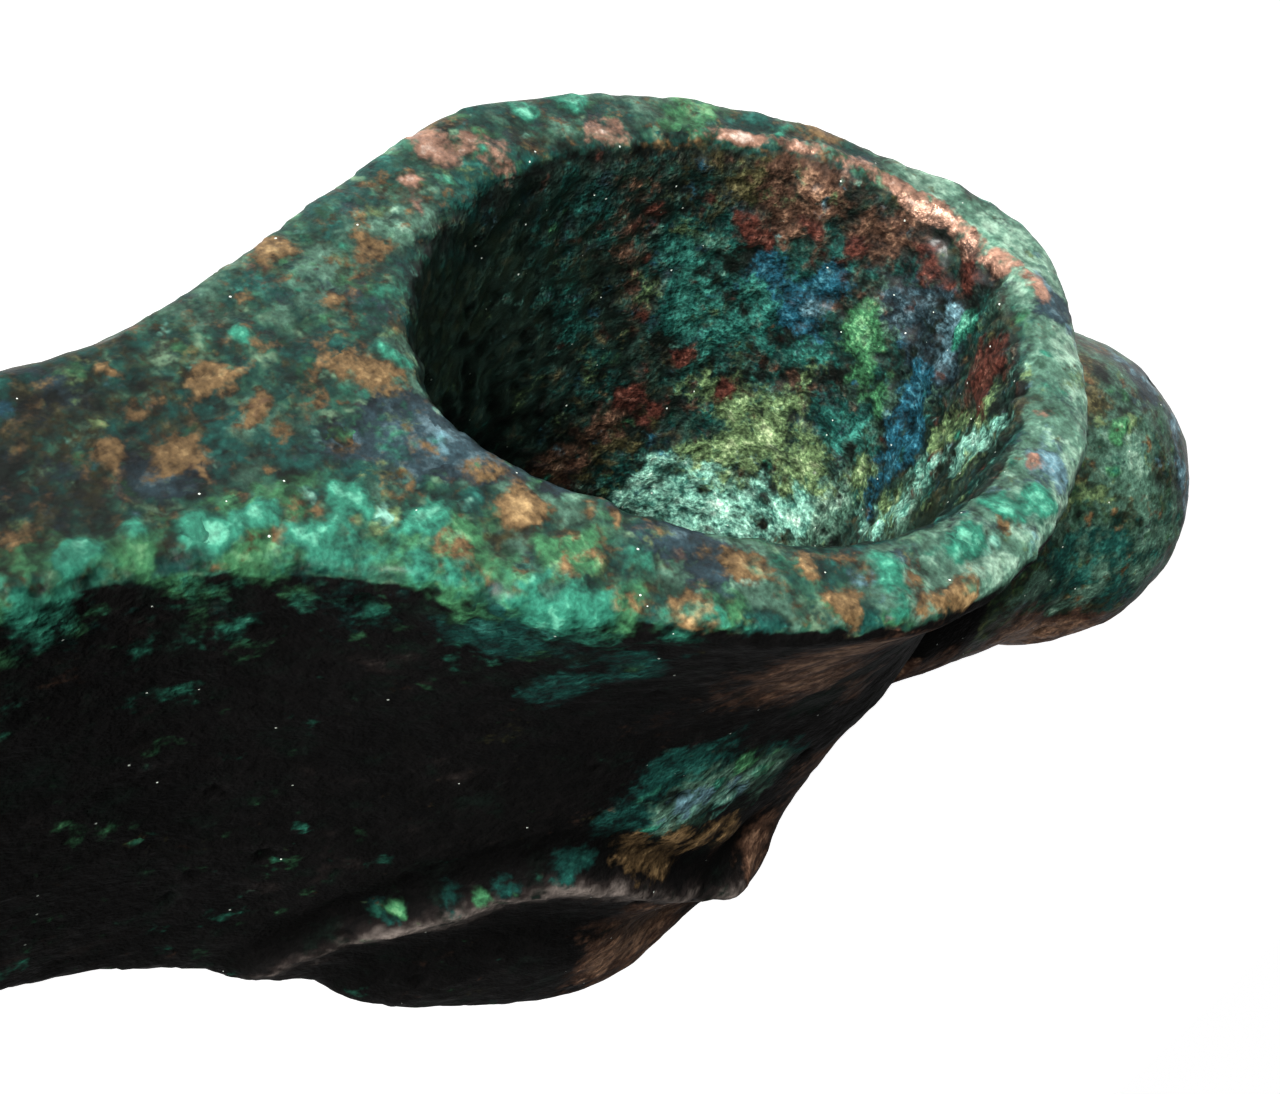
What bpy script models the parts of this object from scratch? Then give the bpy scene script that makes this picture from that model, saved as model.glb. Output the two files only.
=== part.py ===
# Cast bronze shaft-hole axe head, one solid lying on its side
# It is built with X toward the cutting edge, Y down the eye from the wide mouth and Z through the thickness
# Sizes are in metres

import math

import bmesh
import bpy
import numpy as np
from mathutils import Matrix, Vector

# Eye: an oval hole, wide at the mouth, narrower below and leaning toward the blade, with eased edges
EYE_HALF_LENGTH = 0.0140
EYE_HALF_ABOVE = 0.0114
EYE_HALF_BELOW = 0.0110
EYE_FULLNESS_ABOVE = 1.75
EYE_FULLNESS_BELOW = 2.0
EYE_FOOT_SHARE = 0.62
EYE_LEAN = 0.0025
EYE_EASE = 0.0010
EYE_CUT_PAST = 0.0040
EYE_STEPS = 44
EYE_LEVELS = 6

# Socket: the tube round the eye, a spool with a wide rim, a waist, a ridge and a foot
# Each outline has a depth, a reach to the butt, a half width, a widest place and a fullness of the butt
SOCKET_DEPTH = 0.0385
RIM = {"depth": 0.0, "butt": 0.0175, "half": 0.0158, "belly": 0.0010, "fullness": 1.85}
WAIST = {"depth": 0.442 * SOCKET_DEPTH, "butt": 0.0168, "half": 0.0110, "belly": 0.0015, "fullness": 2.8}
RIDGE = {"depth": 0.792 * SOCKET_DEPTH, "butt": 0.0113, "half": 0.0125, "belly": 0.0020, "fullness": 2.2}
FOOT = {"depth": SOCKET_DEPTH, "butt": 0.0105, "half": 0.0117, "belly": 0.0030, "fullness": 2.0}
BUTT_POWER = 1.65
RIM_LEAN = 0.22
FAIRING_FULLNESS = 0.82
EDGE_EASE = 0.0011
FOOT_BULGE = 0.0003

# The ridge runs low at the butt, climbs by the lift, and sinks to the lower edge before the neck
RIDGE_LIFT = 0.0070
RIDGE_LOW_AT = -0.0060
RIDGE_HIGH_AT = 0.0070
RIDGE_SINKS_BY = 0.0100
RIDGE_SINKS_AT = 0.0240

# Lug: the small outward corner where the ridge ends near the butt
LUG_OUT = 0.0012
LUG_BACK = 0.0005
LUG_AT = -0.0035
LUG_REACH = 0.0030

# Blade: a wedge that leaves the socket at the neck and flares to a curved cutting edge
NECK_AT = 0.0270
NECK_HALF = 0.0049
NARROWS_AT = 0.0370
NARROWS_HEIGHT = 0.662 * SOCKET_DEPTH
EDGE_AT = 0.0960
EDGE_HALF = 0.0004
EDGE_BOW = 0.0070
BLADE_TOP_RISE = 0.0040
BLADE_FOOT_DROP = 0.5065 * SOCKET_DEPTH

# Knob: a stub with a ball end on the butt, under the rim
KNOB_RADIUS = 0.0096
KNOB_CENTRE = 0.0290
KNOB_DEPTH = 0.525 * SOCKET_DEPTH
KNOB_NECK = 0.0084
KNOB_ROOT = 0.0084
KNOB_SUNK = 0.0035
KNOB_STEPS = 12
KNOB_TURNS = 40

# Rest: how the part lies on its rim, its ridge and the low corner of the cutting edge, on small flats
REST_PITCH = math.radians(7.28)
REST_ROLL = math.radians(5.0)
REST_FLAT = 0.00025
GROUND_SPAN = 0.3
GROUND_THICK = 0.02

# Mesh density
BUTT_POINTS = 20
FAIRING_POINTS = 18
BLADE_POINTS = 12
BODY_LEVELS = 24
EASE_STEPS = 3
SHARP_ANGLE = math.radians(40)


def clear_scene():
    for thing in list(bpy.data.objects):
        bpy.data.objects.remove(thing)


def ease(share):
    return share * share * (3 - 2 * share)


def between(first, second, share):
    return {key: first[key] + (second[key] - first[key]) * share for key in first}


def socket_sizes(depth):
    """Sizes of the socket outline at one depth."""
    if depth <= WAIST["depth"]:
        return between(WAIST, RIM, (1 - depth / WAIST["depth"]) ** 1.7)
    if depth <= RIDGE["depth"]:
        return between(WAIST, RIDGE, ((depth - WAIST["depth"]) / (RIDGE["depth"] - WAIST["depth"])) ** 1.5)
    share = (depth - RIDGE["depth"]) / (FOOT["depth"] - RIDGE["depth"])
    sizes = between(RIDGE, FOOT, share)
    sizes["half"] += FOOT_BULGE * math.sin(math.pi * share)
    return sizes


def lifted(share, x):
    """The share of the depth after the ridge has climbed away from the butt."""
    ridge = RIDGE["depth"] / SOCKET_DEPTH
    climb = ease(min(1.0, max(0.0, (x - RIDGE_LOW_AT) / (RIDGE_HIGH_AT - RIDGE_LOW_AT))))
    sink = ease(min(1.0, max(0.0, (x - RIDGE_HIGH_AT) / (RIDGE_SINKS_AT - RIDGE_HIGH_AT))))
    raised = ridge + (RIDGE_SINKS_BY * sink - RIDGE_LIFT * climb) / SOCKET_DEPTH
    if share <= ridge:
        return share * raised / ridge
    return 1 - (1 - share) * (1 - raised) / (1 - ridge)


def foot_depth(x):
    """Depth of the lower edge: the foot, a swoop up to the narrows, then the flare to the cutting edge."""
    start = FOOT["belly"]
    if x <= start:
        return SOCKET_DEPTH
    if x <= NARROWS_AT:
        return SOCKET_DEPTH + (NARROWS_HEIGHT - SOCKET_DEPTH) * ease((x - start) / (NARROWS_AT - start))
    return NARROWS_HEIGHT + BLADE_FOOT_DROP * ((x - NARROWS_AT) / (EDGE_AT - NARROWS_AT)) ** 1.7


def top_depth(x):
    """Depth of the upper edge: level with the rim, then a slight rise to the cutting edge."""
    if x <= NECK_AT:
        return 0.0
    return -BLADE_TOP_RISE * ((x - NECK_AT) / (EDGE_AT - NECK_AT)) ** 2


def half_outline(share, side):
    """Points (x, z) of the upper (1) or lower (-1) side, from the butt nose to the cutting edge."""
    depth = share * SOCKET_DEPTH
    sizes = socket_sizes(depth)
    fullness = sizes["fullness"] - side * RIM_LEAN * max(0.0, 1 - depth / WAIST["depth"])
    butt, half, belly = sizes["butt"], sizes["half"], sizes["belly"]
    points = []
    for i in range(BUTT_POINTS):
        reach = math.cos(0.5 * math.pi * i / BUTT_POINTS)
        z = half * (1 - reach**fullness) ** (1 / BUTT_POWER)
        x = belly - (belly + butt) * reach
        lug = math.exp(-(((x - LUG_AT) / LUG_REACH) ** 2) - ((depth - RIDGE["depth"]) / LUG_REACH) ** 2)
        points.append((x - LUG_BACK * lug, z + LUG_OUT * lug))
    for i in range(FAIRING_POINTS):
        q = i / FAIRING_POINTS
        bell = (0.5 + 0.5 * math.cos(math.pi * q)) ** FAIRING_FULLNESS
        points.append((belly + (NECK_AT - belly) * q, NECK_HALF + (half - NECK_HALF) * bell))
    edge_at = EDGE_AT - EDGE_BOW * (2 * share - 1) ** 2
    for i in range(BLADE_POINTS + 1):
        q = i / BLADE_POINTS
        x = NECK_AT + (edge_at - NECK_AT) * q
        points.append((x, EDGE_HALF + (NECK_HALF - EDGE_HALF) * (1 - q**1.2)))
    points.append((edge_at + EDGE_HALF, 0.0))
    return np.array(points)


def inset(outline, amount):
    """Moves an outline inward, by less where the blade is thin."""
    along = np.gradient(outline, axis=0)
    normal = np.stack([-along[:, 1], along[:, 0]], 1)
    normal /= np.linalg.norm(normal, axis=1)[:, None]
    room = np.where(outline[:, 0] > NECK_AT, 0.5 * np.maximum(outline[:, 1], EDGE_HALF), amount)
    moved = outline - normal * np.minimum(amount, room)[:, None]
    moved[[0, -1], 1] = 0.0
    return moved


def eased_steps(radius):
    """Steps (depth, sideways amount) round a quarter turn, which ease an edge to this radius."""
    turns = [0.5 * math.pi * i / EASE_STEPS for i in range(EASE_STEPS + 1)]
    return [(radius * (1 - math.cos(a)), radius * (1 - math.sin(a))) for a in turns]


def body_rings(side):
    """Rings of points (x, y, z) of one side, from the mouth down to the foot."""
    steps = eased_steps(EDGE_EASE)
    marks = [SOCKET_DEPTH * i / BODY_LEVELS for i in range(2, BODY_LEVELS - 1)] + [RIDGE["depth"]]
    levels = steps + [(mark, 0.0) for mark in sorted(marks)]
    levels += [(SOCKET_DEPTH - back, inward) for back, inward in reversed(steps)]
    rings = []
    for depth, inward in levels:
        share = depth / SOCKET_DEPTH
        ring = []
        for x, z in inset(half_outline(share, side), inward):
            top, foot = top_depth(x), foot_depth(x)
            ring.append((x, top + (foot - top) * lifted(share, x), side * z))
        rings.append(ring)
    return rings


def loft(name, rings, collection):
    """A closed mesh through loops of points, with its first and last loops filled."""
    count = len(rings[0])
    points = [p for ring in rings for p in ring]
    faces = []
    for level in range(len(rings) - 1):
        for i in range(count):
            a, b = level * count + i, level * count + (i + 1) % count
            faces.append((a, b, b + count, a + count))
    for start, turn in ((0, -1), (len(points) - count, 1)):
        half = count // 2
        for i in range(half):
            strip = [start + i, start + i + 1, start + (count - i - 1) % count, start + (count - i) % count]
            faces.append(tuple(dict.fromkeys(strip[::turn])))
    mesh = bpy.data.meshes.new(name)
    mesh.from_pydata(points, [], [face for face in faces if len(face) > 2])
    shape = bmesh.new()
    shape.from_mesh(mesh)
    bmesh.ops.recalc_face_normals(shape, faces=shape.faces)
    shape.to_mesh(mesh)
    shape.free()
    mesh.shade_smooth()
    mesh.set_sharp_from_angle(angle=SHARP_ANGLE)
    made = bpy.data.objects.new(name, mesh)
    collection.objects.link(made)
    return made


def make_body(collection):
    loops = [above + below[-2:0:-1] for above, below in zip(body_rings(1), body_rings(-1))]
    return loft("axe_head", loops, collection)


def eye_ring(depth, grow):
    """An oval across the eye, fuller below than above, its centre leaning toward the blade with depth."""
    share = min(1.0, max(0.0, depth / SOCKET_DEPTH))
    scale = 1 + (EYE_FOOT_SHARE - 1) * share
    ring = []
    for i in range(EYE_STEPS):
        a = math.pi + 2 * math.pi * i / EYE_STEPS
        above = math.sin(a) > 0
        half = EYE_HALF_ABOVE if above else EYE_HALF_BELOW
        power = 2 / (EYE_FULLNESS_ABOVE if above else EYE_FULLNESS_BELOW)
        x = (EYE_HALF_LENGTH * scale + grow) * math.copysign(abs(math.cos(a)) ** power, math.cos(a))
        z = (half * scale + grow) * math.copysign(abs(math.sin(a)) ** power, math.sin(a))
        ring.append((EYE_LEAN * share + x, depth, z))
    return ring


def make_eye(collection):
    steps = eased_steps(EYE_EASE)
    levels = [(-EYE_CUT_PAST, EYE_EASE)] + steps
    levels += [(SOCKET_DEPTH * i / EYE_LEVELS, 0.0) for i in range(1, EYE_LEVELS)]
    levels += [(SOCKET_DEPTH - back, grow) for back, grow in reversed(steps)]
    levels.append((SOCKET_DEPTH + EYE_CUT_PAST, EYE_EASE))
    return loft("eye_cutter", [eye_ring(depth, grow) for depth, grow in levels], collection)


def make_knob(collection):
    """The knob: a stub from inside the socket wall out to a ball end, turned about its own length."""
    root = WAIST["butt"] - KNOB_SUNK
    meets = math.asin(KNOB_NECK / KNOB_RADIUS)
    neck_end = KNOB_CENTRE - KNOB_RADIUS * math.cos(meets)
    profile = [(root, 0.0), (root, KNOB_ROOT), (WAIST["butt"], KNOB_ROOT)]
    profile.append((0.5 * (WAIST["butt"] + neck_end), KNOB_NECK))
    for i in range(KNOB_STEPS + 1):
        a = meets + (math.pi - meets) * i / KNOB_STEPS
        profile.append((KNOB_CENTRE - KNOB_RADIUS * math.cos(a), max(0.0, KNOB_RADIUS * math.sin(a))))
    edges = [(i, i + 1) for i in range(len(profile) - 1)]
    mesh = bpy.data.meshes.new("knob_tool")
    mesh.from_pydata([(-reach, radius, 0.0) for reach, radius in profile], edges, [])
    knob = bpy.data.objects.new("knob_tool", mesh)
    collection.objects.link(knob)
    turn = knob.modifiers.new("Turn", "SCREW")
    turn.axis = "X"
    turn.steps = KNOB_TURNS
    turn.render_steps = KNOB_TURNS
    turn.use_merge_vertices = True
    turn.merge_threshold = 0.00002
    turn.use_normal_calculate = True
    turn.use_smooth_shade = True
    knob.location = (0.0, KNOB_DEPTH, 0.0)
    return knob


def make_ground(collection):
    """A slab under the part, which cuts the small flats that it rests on."""
    bpy.ops.mesh.primitive_cube_add(size=1.0)
    ground = bpy.context.object
    ground.name = "ground_tool"
    for other in ground.users_collection:
        other.objects.unlink(ground)
    collection.objects.link(ground)
    ground.scale = (GROUND_SPAN, GROUND_SPAN, GROUND_THICK)
    return ground


def combine(body, tool, operation):
    change = body.modifiers.new(tool.name, "BOOLEAN")
    change.operation = operation
    change.solver = "EXACT"
    change.object = tool
    tool.hide_render = True
    tool.display_type = "WIRE"
    return change


def evaluated_points(thing):
    bpy.context.view_layer.update()
    view = thing.evaluated_get(bpy.context.evaluated_depsgraph_get())
    return np.array([thing.matrix_world @ v.co for v in view.data.vertices])


def add_bronze(body):
    bronze = bpy.data.materials.new("patinated_bronze")
    bronze.use_nodes = True
    shader = bronze.node_tree.nodes["Principled BSDF"]
    shader.inputs["Base Color"].default_value = (0.075, 0.16, 0.115, 1.0)
    shader.inputs["Metallic"].default_value = 0.35
    shader.inputs["Roughness"].default_value = 0.62
    body.data.materials.append(bronze)


def main():
    clear_scene()
    shown = bpy.data.collections.new("bronze_axe_head")
    tools = bpy.data.collections.new("tools")
    bpy.context.scene.collection.children.link(shown)
    bpy.context.scene.collection.children.link(tools)
    tools.hide_render = True

    body = make_body(shown)
    eye = make_eye(tools)
    knob = make_knob(tools)
    combine(body, knob, "UNION")
    combine(body, eye, "DIFFERENCE")

    rest = Matrix.Rotation(-REST_ROLL, 4, "X") @ Matrix.Rotation(REST_PITCH, 4, "Y")
    bpy.context.view_layer.update()
    for thing in (body, eye, knob):
        thing.matrix_world = rest @ thing.matrix_world
    points = evaluated_points(body)
    low, high = points.min(0), points.max(0)
    centre = 0.5 * (low + high)
    shift = Matrix.Translation(Vector((-centre[0], -centre[1], -low[2] - REST_FLAT)))
    for thing in (body, eye, knob):
        thing.matrix_world = shift @ thing.matrix_world
    ground = make_ground(tools)
    ground.location = (0.0, 0.0, -0.5 * GROUND_THICK)
    combine(body, ground, "DIFFERENCE")
    add_bronze(body)
    bpy.context.view_layer.update()


main()
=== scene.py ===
# Bronze shaft-hole axe head under a thick green, blue and brown patina, lying on its side
import math

import bmesh
import bpy
import numpy as np
from mathutils import Matrix, Vector, noise


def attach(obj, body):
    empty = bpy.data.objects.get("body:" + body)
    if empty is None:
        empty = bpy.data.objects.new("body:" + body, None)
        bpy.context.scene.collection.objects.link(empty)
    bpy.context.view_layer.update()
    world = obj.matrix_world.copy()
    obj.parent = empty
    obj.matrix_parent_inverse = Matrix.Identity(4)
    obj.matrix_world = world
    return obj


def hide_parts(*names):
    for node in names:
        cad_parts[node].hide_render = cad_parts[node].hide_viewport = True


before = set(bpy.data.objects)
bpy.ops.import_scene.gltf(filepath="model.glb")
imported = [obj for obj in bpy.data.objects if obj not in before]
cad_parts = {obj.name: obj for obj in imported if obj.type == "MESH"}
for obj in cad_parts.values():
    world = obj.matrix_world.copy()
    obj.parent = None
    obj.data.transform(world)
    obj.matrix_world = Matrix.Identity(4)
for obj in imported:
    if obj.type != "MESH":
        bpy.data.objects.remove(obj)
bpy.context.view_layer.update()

# The head's own measure: millimetres, x to the cutting edge, y down the eye, z through the thickness
lie = {
    "pitch": 7.28,  # degrees, nose down to the cutting edge
    "roll": 5.0,  # degrees, the mouth tipped up a little
    "place": (-0.028633, -0.01799, 0.015245),  # middle of the eye's mouth, metres
}
headToRoom = (
    Matrix.Translation(lie["place"])
    @ Matrix.Rotation(math.radians(-lie["roll"]), 4, "X")
    @ Matrix.Rotation(math.radians(lie["pitch"]), 4, "Y")
)


def toLinear(hexColour):
    # sRGB hex to the linear colour that a shader socket wants
    parts = [int(hexColour[i:i + 2], 16) / 255 for i in (1, 3, 5)]
    return tuple(c / 12.92 if c <= 0.04045 else ((c + 0.055) / 1.055) ** 2.4 for c in parts) + (1.0,)


def addNode(tree, kind, values=None, links=None, **settings):
    node = tree.nodes.new("ShaderNode" + kind)
    for name, value in settings.items():
        setattr(node, name, value)
    for socket, value in (values or {}).items():
        node.inputs[socket].default_value = value
    for socket, source in (links or {}).items():
        tree.links.new(source, node.inputs[socket])
    return node


def softStep(low, high, value):
    share = np.clip((value - low) / (high - low), 0, 1)
    return share * share * (3 - 2 * share)


# ---- shape of the head ----
print("reading the solid")
shape = {
    "voxel": 0.62,  # mm, the even skin of quads; the close part is cut once more
    "closeTo": 33.0,  # mm from the eye toward the blade that gets the finer skin
    "smoothRounds": 9,
    "swell": 0.16,  # mm, uneven hand-finished casting
    "lumps": 0.085,  # mm, crust
    "grains": 0.045,  # mm, coarse end of the grain
    "eyeGrains": 0.20,  # mm, rough core surface inside the eye
    "pitDeep": 0.20,  # mm
    "rimNicks": 0.13,  # mm, uneven edge round the mouth
    "streaks": 0.025,  # mm, drawn marks on the sides
    "crest": 0.50,  # mm, sharp line of the ridge
    "aboveCrest": 0.50,  # mm, hollow between waist and ridge
    "belowCrest": 0.55,  # mm, hollow facet between ridge and foot
    "lipHigh": 0.26,  # mm, raised worn lip on the far side of the eye's mouth; its pale copper colour is a painted highlight
}

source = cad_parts["axe_head"]
skinMesh = source.data.copy()
skinMesh.name = "corroded_axe_head"
skinMesh.materials.clear()
head = bpy.data.objects.new("corroded_axe_head", skinMesh)
bpy.context.scene.collection.objects.link(head)

weld = bmesh.new()
weld.from_mesh(skinMesh)
bmesh.ops.remove_doubles(weld, verts=weld.verts, dist=1e-6)
weld.to_mesh(skinMesh)
weld.free()

remesh = head.modifiers.new("Even skin", "REMESH")
remesh.mode = "VOXEL"
remesh.voxel_size = shape["voxel"] / 1000
bpy.context.view_layer.update()
even = bpy.data.meshes.new_from_object(head.evaluated_get(bpy.context.evaluated_depsgraph_get()))
head.modifiers.clear()
head.data = even
even.name = "corroded_axe_head"
print("even skin:", len(even.polygons), "quads")

roomToHead = np.array(headToRoom.inverted())


def readPoints(mesh):
    co = np.empty(len(mesh.vertices) * 3)
    mesh.vertices.foreach_get("co", co)
    return (co.reshape(-1, 3) @ roomToHead[:3, :3].T + roomToHead[:3, 3]) * 1000


def readNormals(mesh):
    found = np.empty(len(mesh.vertices) * 3)
    mesh.vertices.foreach_get("normal", found)
    return found.reshape(-1, 3) @ roomToHead[:3, :3].T


def writePoints(mesh, points):
    there = np.array(headToRoom)
    room = points / 1000 @ there[:3, :3].T + there[:3, 3]
    room[:, 2] = np.maximum(room[:, 2], 0.0)  # nothing sinks into the floor
    mesh.vertices.foreach_set("co", room.ravel())
    mesh.update()


def relax(points, pairs, rounds, pull=0.5, push=-0.52):
    # evens out the skin without shrinking it
    a, b = pairs[:, 0], pairs[:, 1]
    count = np.bincount(pairs.ravel(), minlength=len(points))[:, None]
    for step in range(2 * rounds):
        total = np.stack([
            np.bincount(a, points[b, k], len(points)) + np.bincount(b, points[a, k], len(points))
            for k in range(3)
        ], 1)
        points = points + (pull if step % 2 == 0 else push) * (total / count - points)
    return points


def fromEyeAxis(points):
    # 1 on the wall of the tapered oval eye
    down = np.clip(points[:, 1] / 38.5, 0, 1)
    narrow = 1 - 0.38 * down
    return ((points[:, 0] - 2.5 * down) / (14 * narrow)) ** 2 + (points[:, 2] / (11.2 * narrow)) ** 2


# finer quads where the eye, the rim and the knob are looked at closely
points = readPoints(even)
cut = bmesh.new()
cut.from_mesh(even)
cut.verts.ensure_lookup_table()
x, y, z = points.T
near = (fromEyeAxis(points) < 1.25) & (y < 26)
near |= (y < 3.5) & (x < shape["closeTo"])
near |= (z > 3) & (x > -14) & (x < 23)
near |= (z > -1) & (x < -18) & (y < 25)
edges = [e for e in cut.edges if near[e.verts[0].index] and near[e.verts[1].index]]
bmesh.ops.subdivide_edges(cut, edges=edges, cuts=1, use_grid_fill=True)
cut.to_mesh(even)
cut.free()
print("skin with its close part:", len(even.polygons), "faces,", sum(len(p.vertices) - 2 for p in even.polygons), "triangles")

points = readPoints(even)
pairs = np.empty(len(even.edges) * 2, dtype=np.int64)
even.edges.foreach_get("vertices", pairs)
pairs = pairs.reshape(-1, 2)
points = relax(points, pairs, shape["smoothRounds"])

# where the casting strays from the even form: middle (mm on the head), reach (mm), push (mm)
strays = [
    ((-15.8, 0.8, -2.2), 5.5, (-0.95, 0.0, -0.4)),
    ((-13.2, 0.4, 4.2), 4.0, (0.55, 0.0, -0.2)),
    ((-3.9, 25.2, 12.0), 2.4, (0.3, 0.0, -0.6)),
    ((-0.2, 32.0, 12.7), 3.4, (0.1, -0.2, -0.8)),
    ((-8.0, 17.5, 9.8), 4.0, (-0.3, 0.0, 0.4)),
    ((-2.4, 28.4, 12.7), 1.3, (-0.2, 0.1, 0.45)),
    ((5.6, 0.2, -13.2), 2.6, (0.0, -0.2, -0.4)),
    ((12.8, 0.4, 1.2), 3.0, (0.5, 0.1, 0.0)),
    ((14.5, 31.5, 8.6), 4.5, (0.05, 0.3, 0.4)),
]
for middle, reach, push in strays:
    share = np.exp(-(np.linalg.norm(points - middle, axis=1) / reach) ** 2)
    points = points + share[:, None] * np.array(push)
writePoints(even, points)
normals = readNormals(even)

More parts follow.
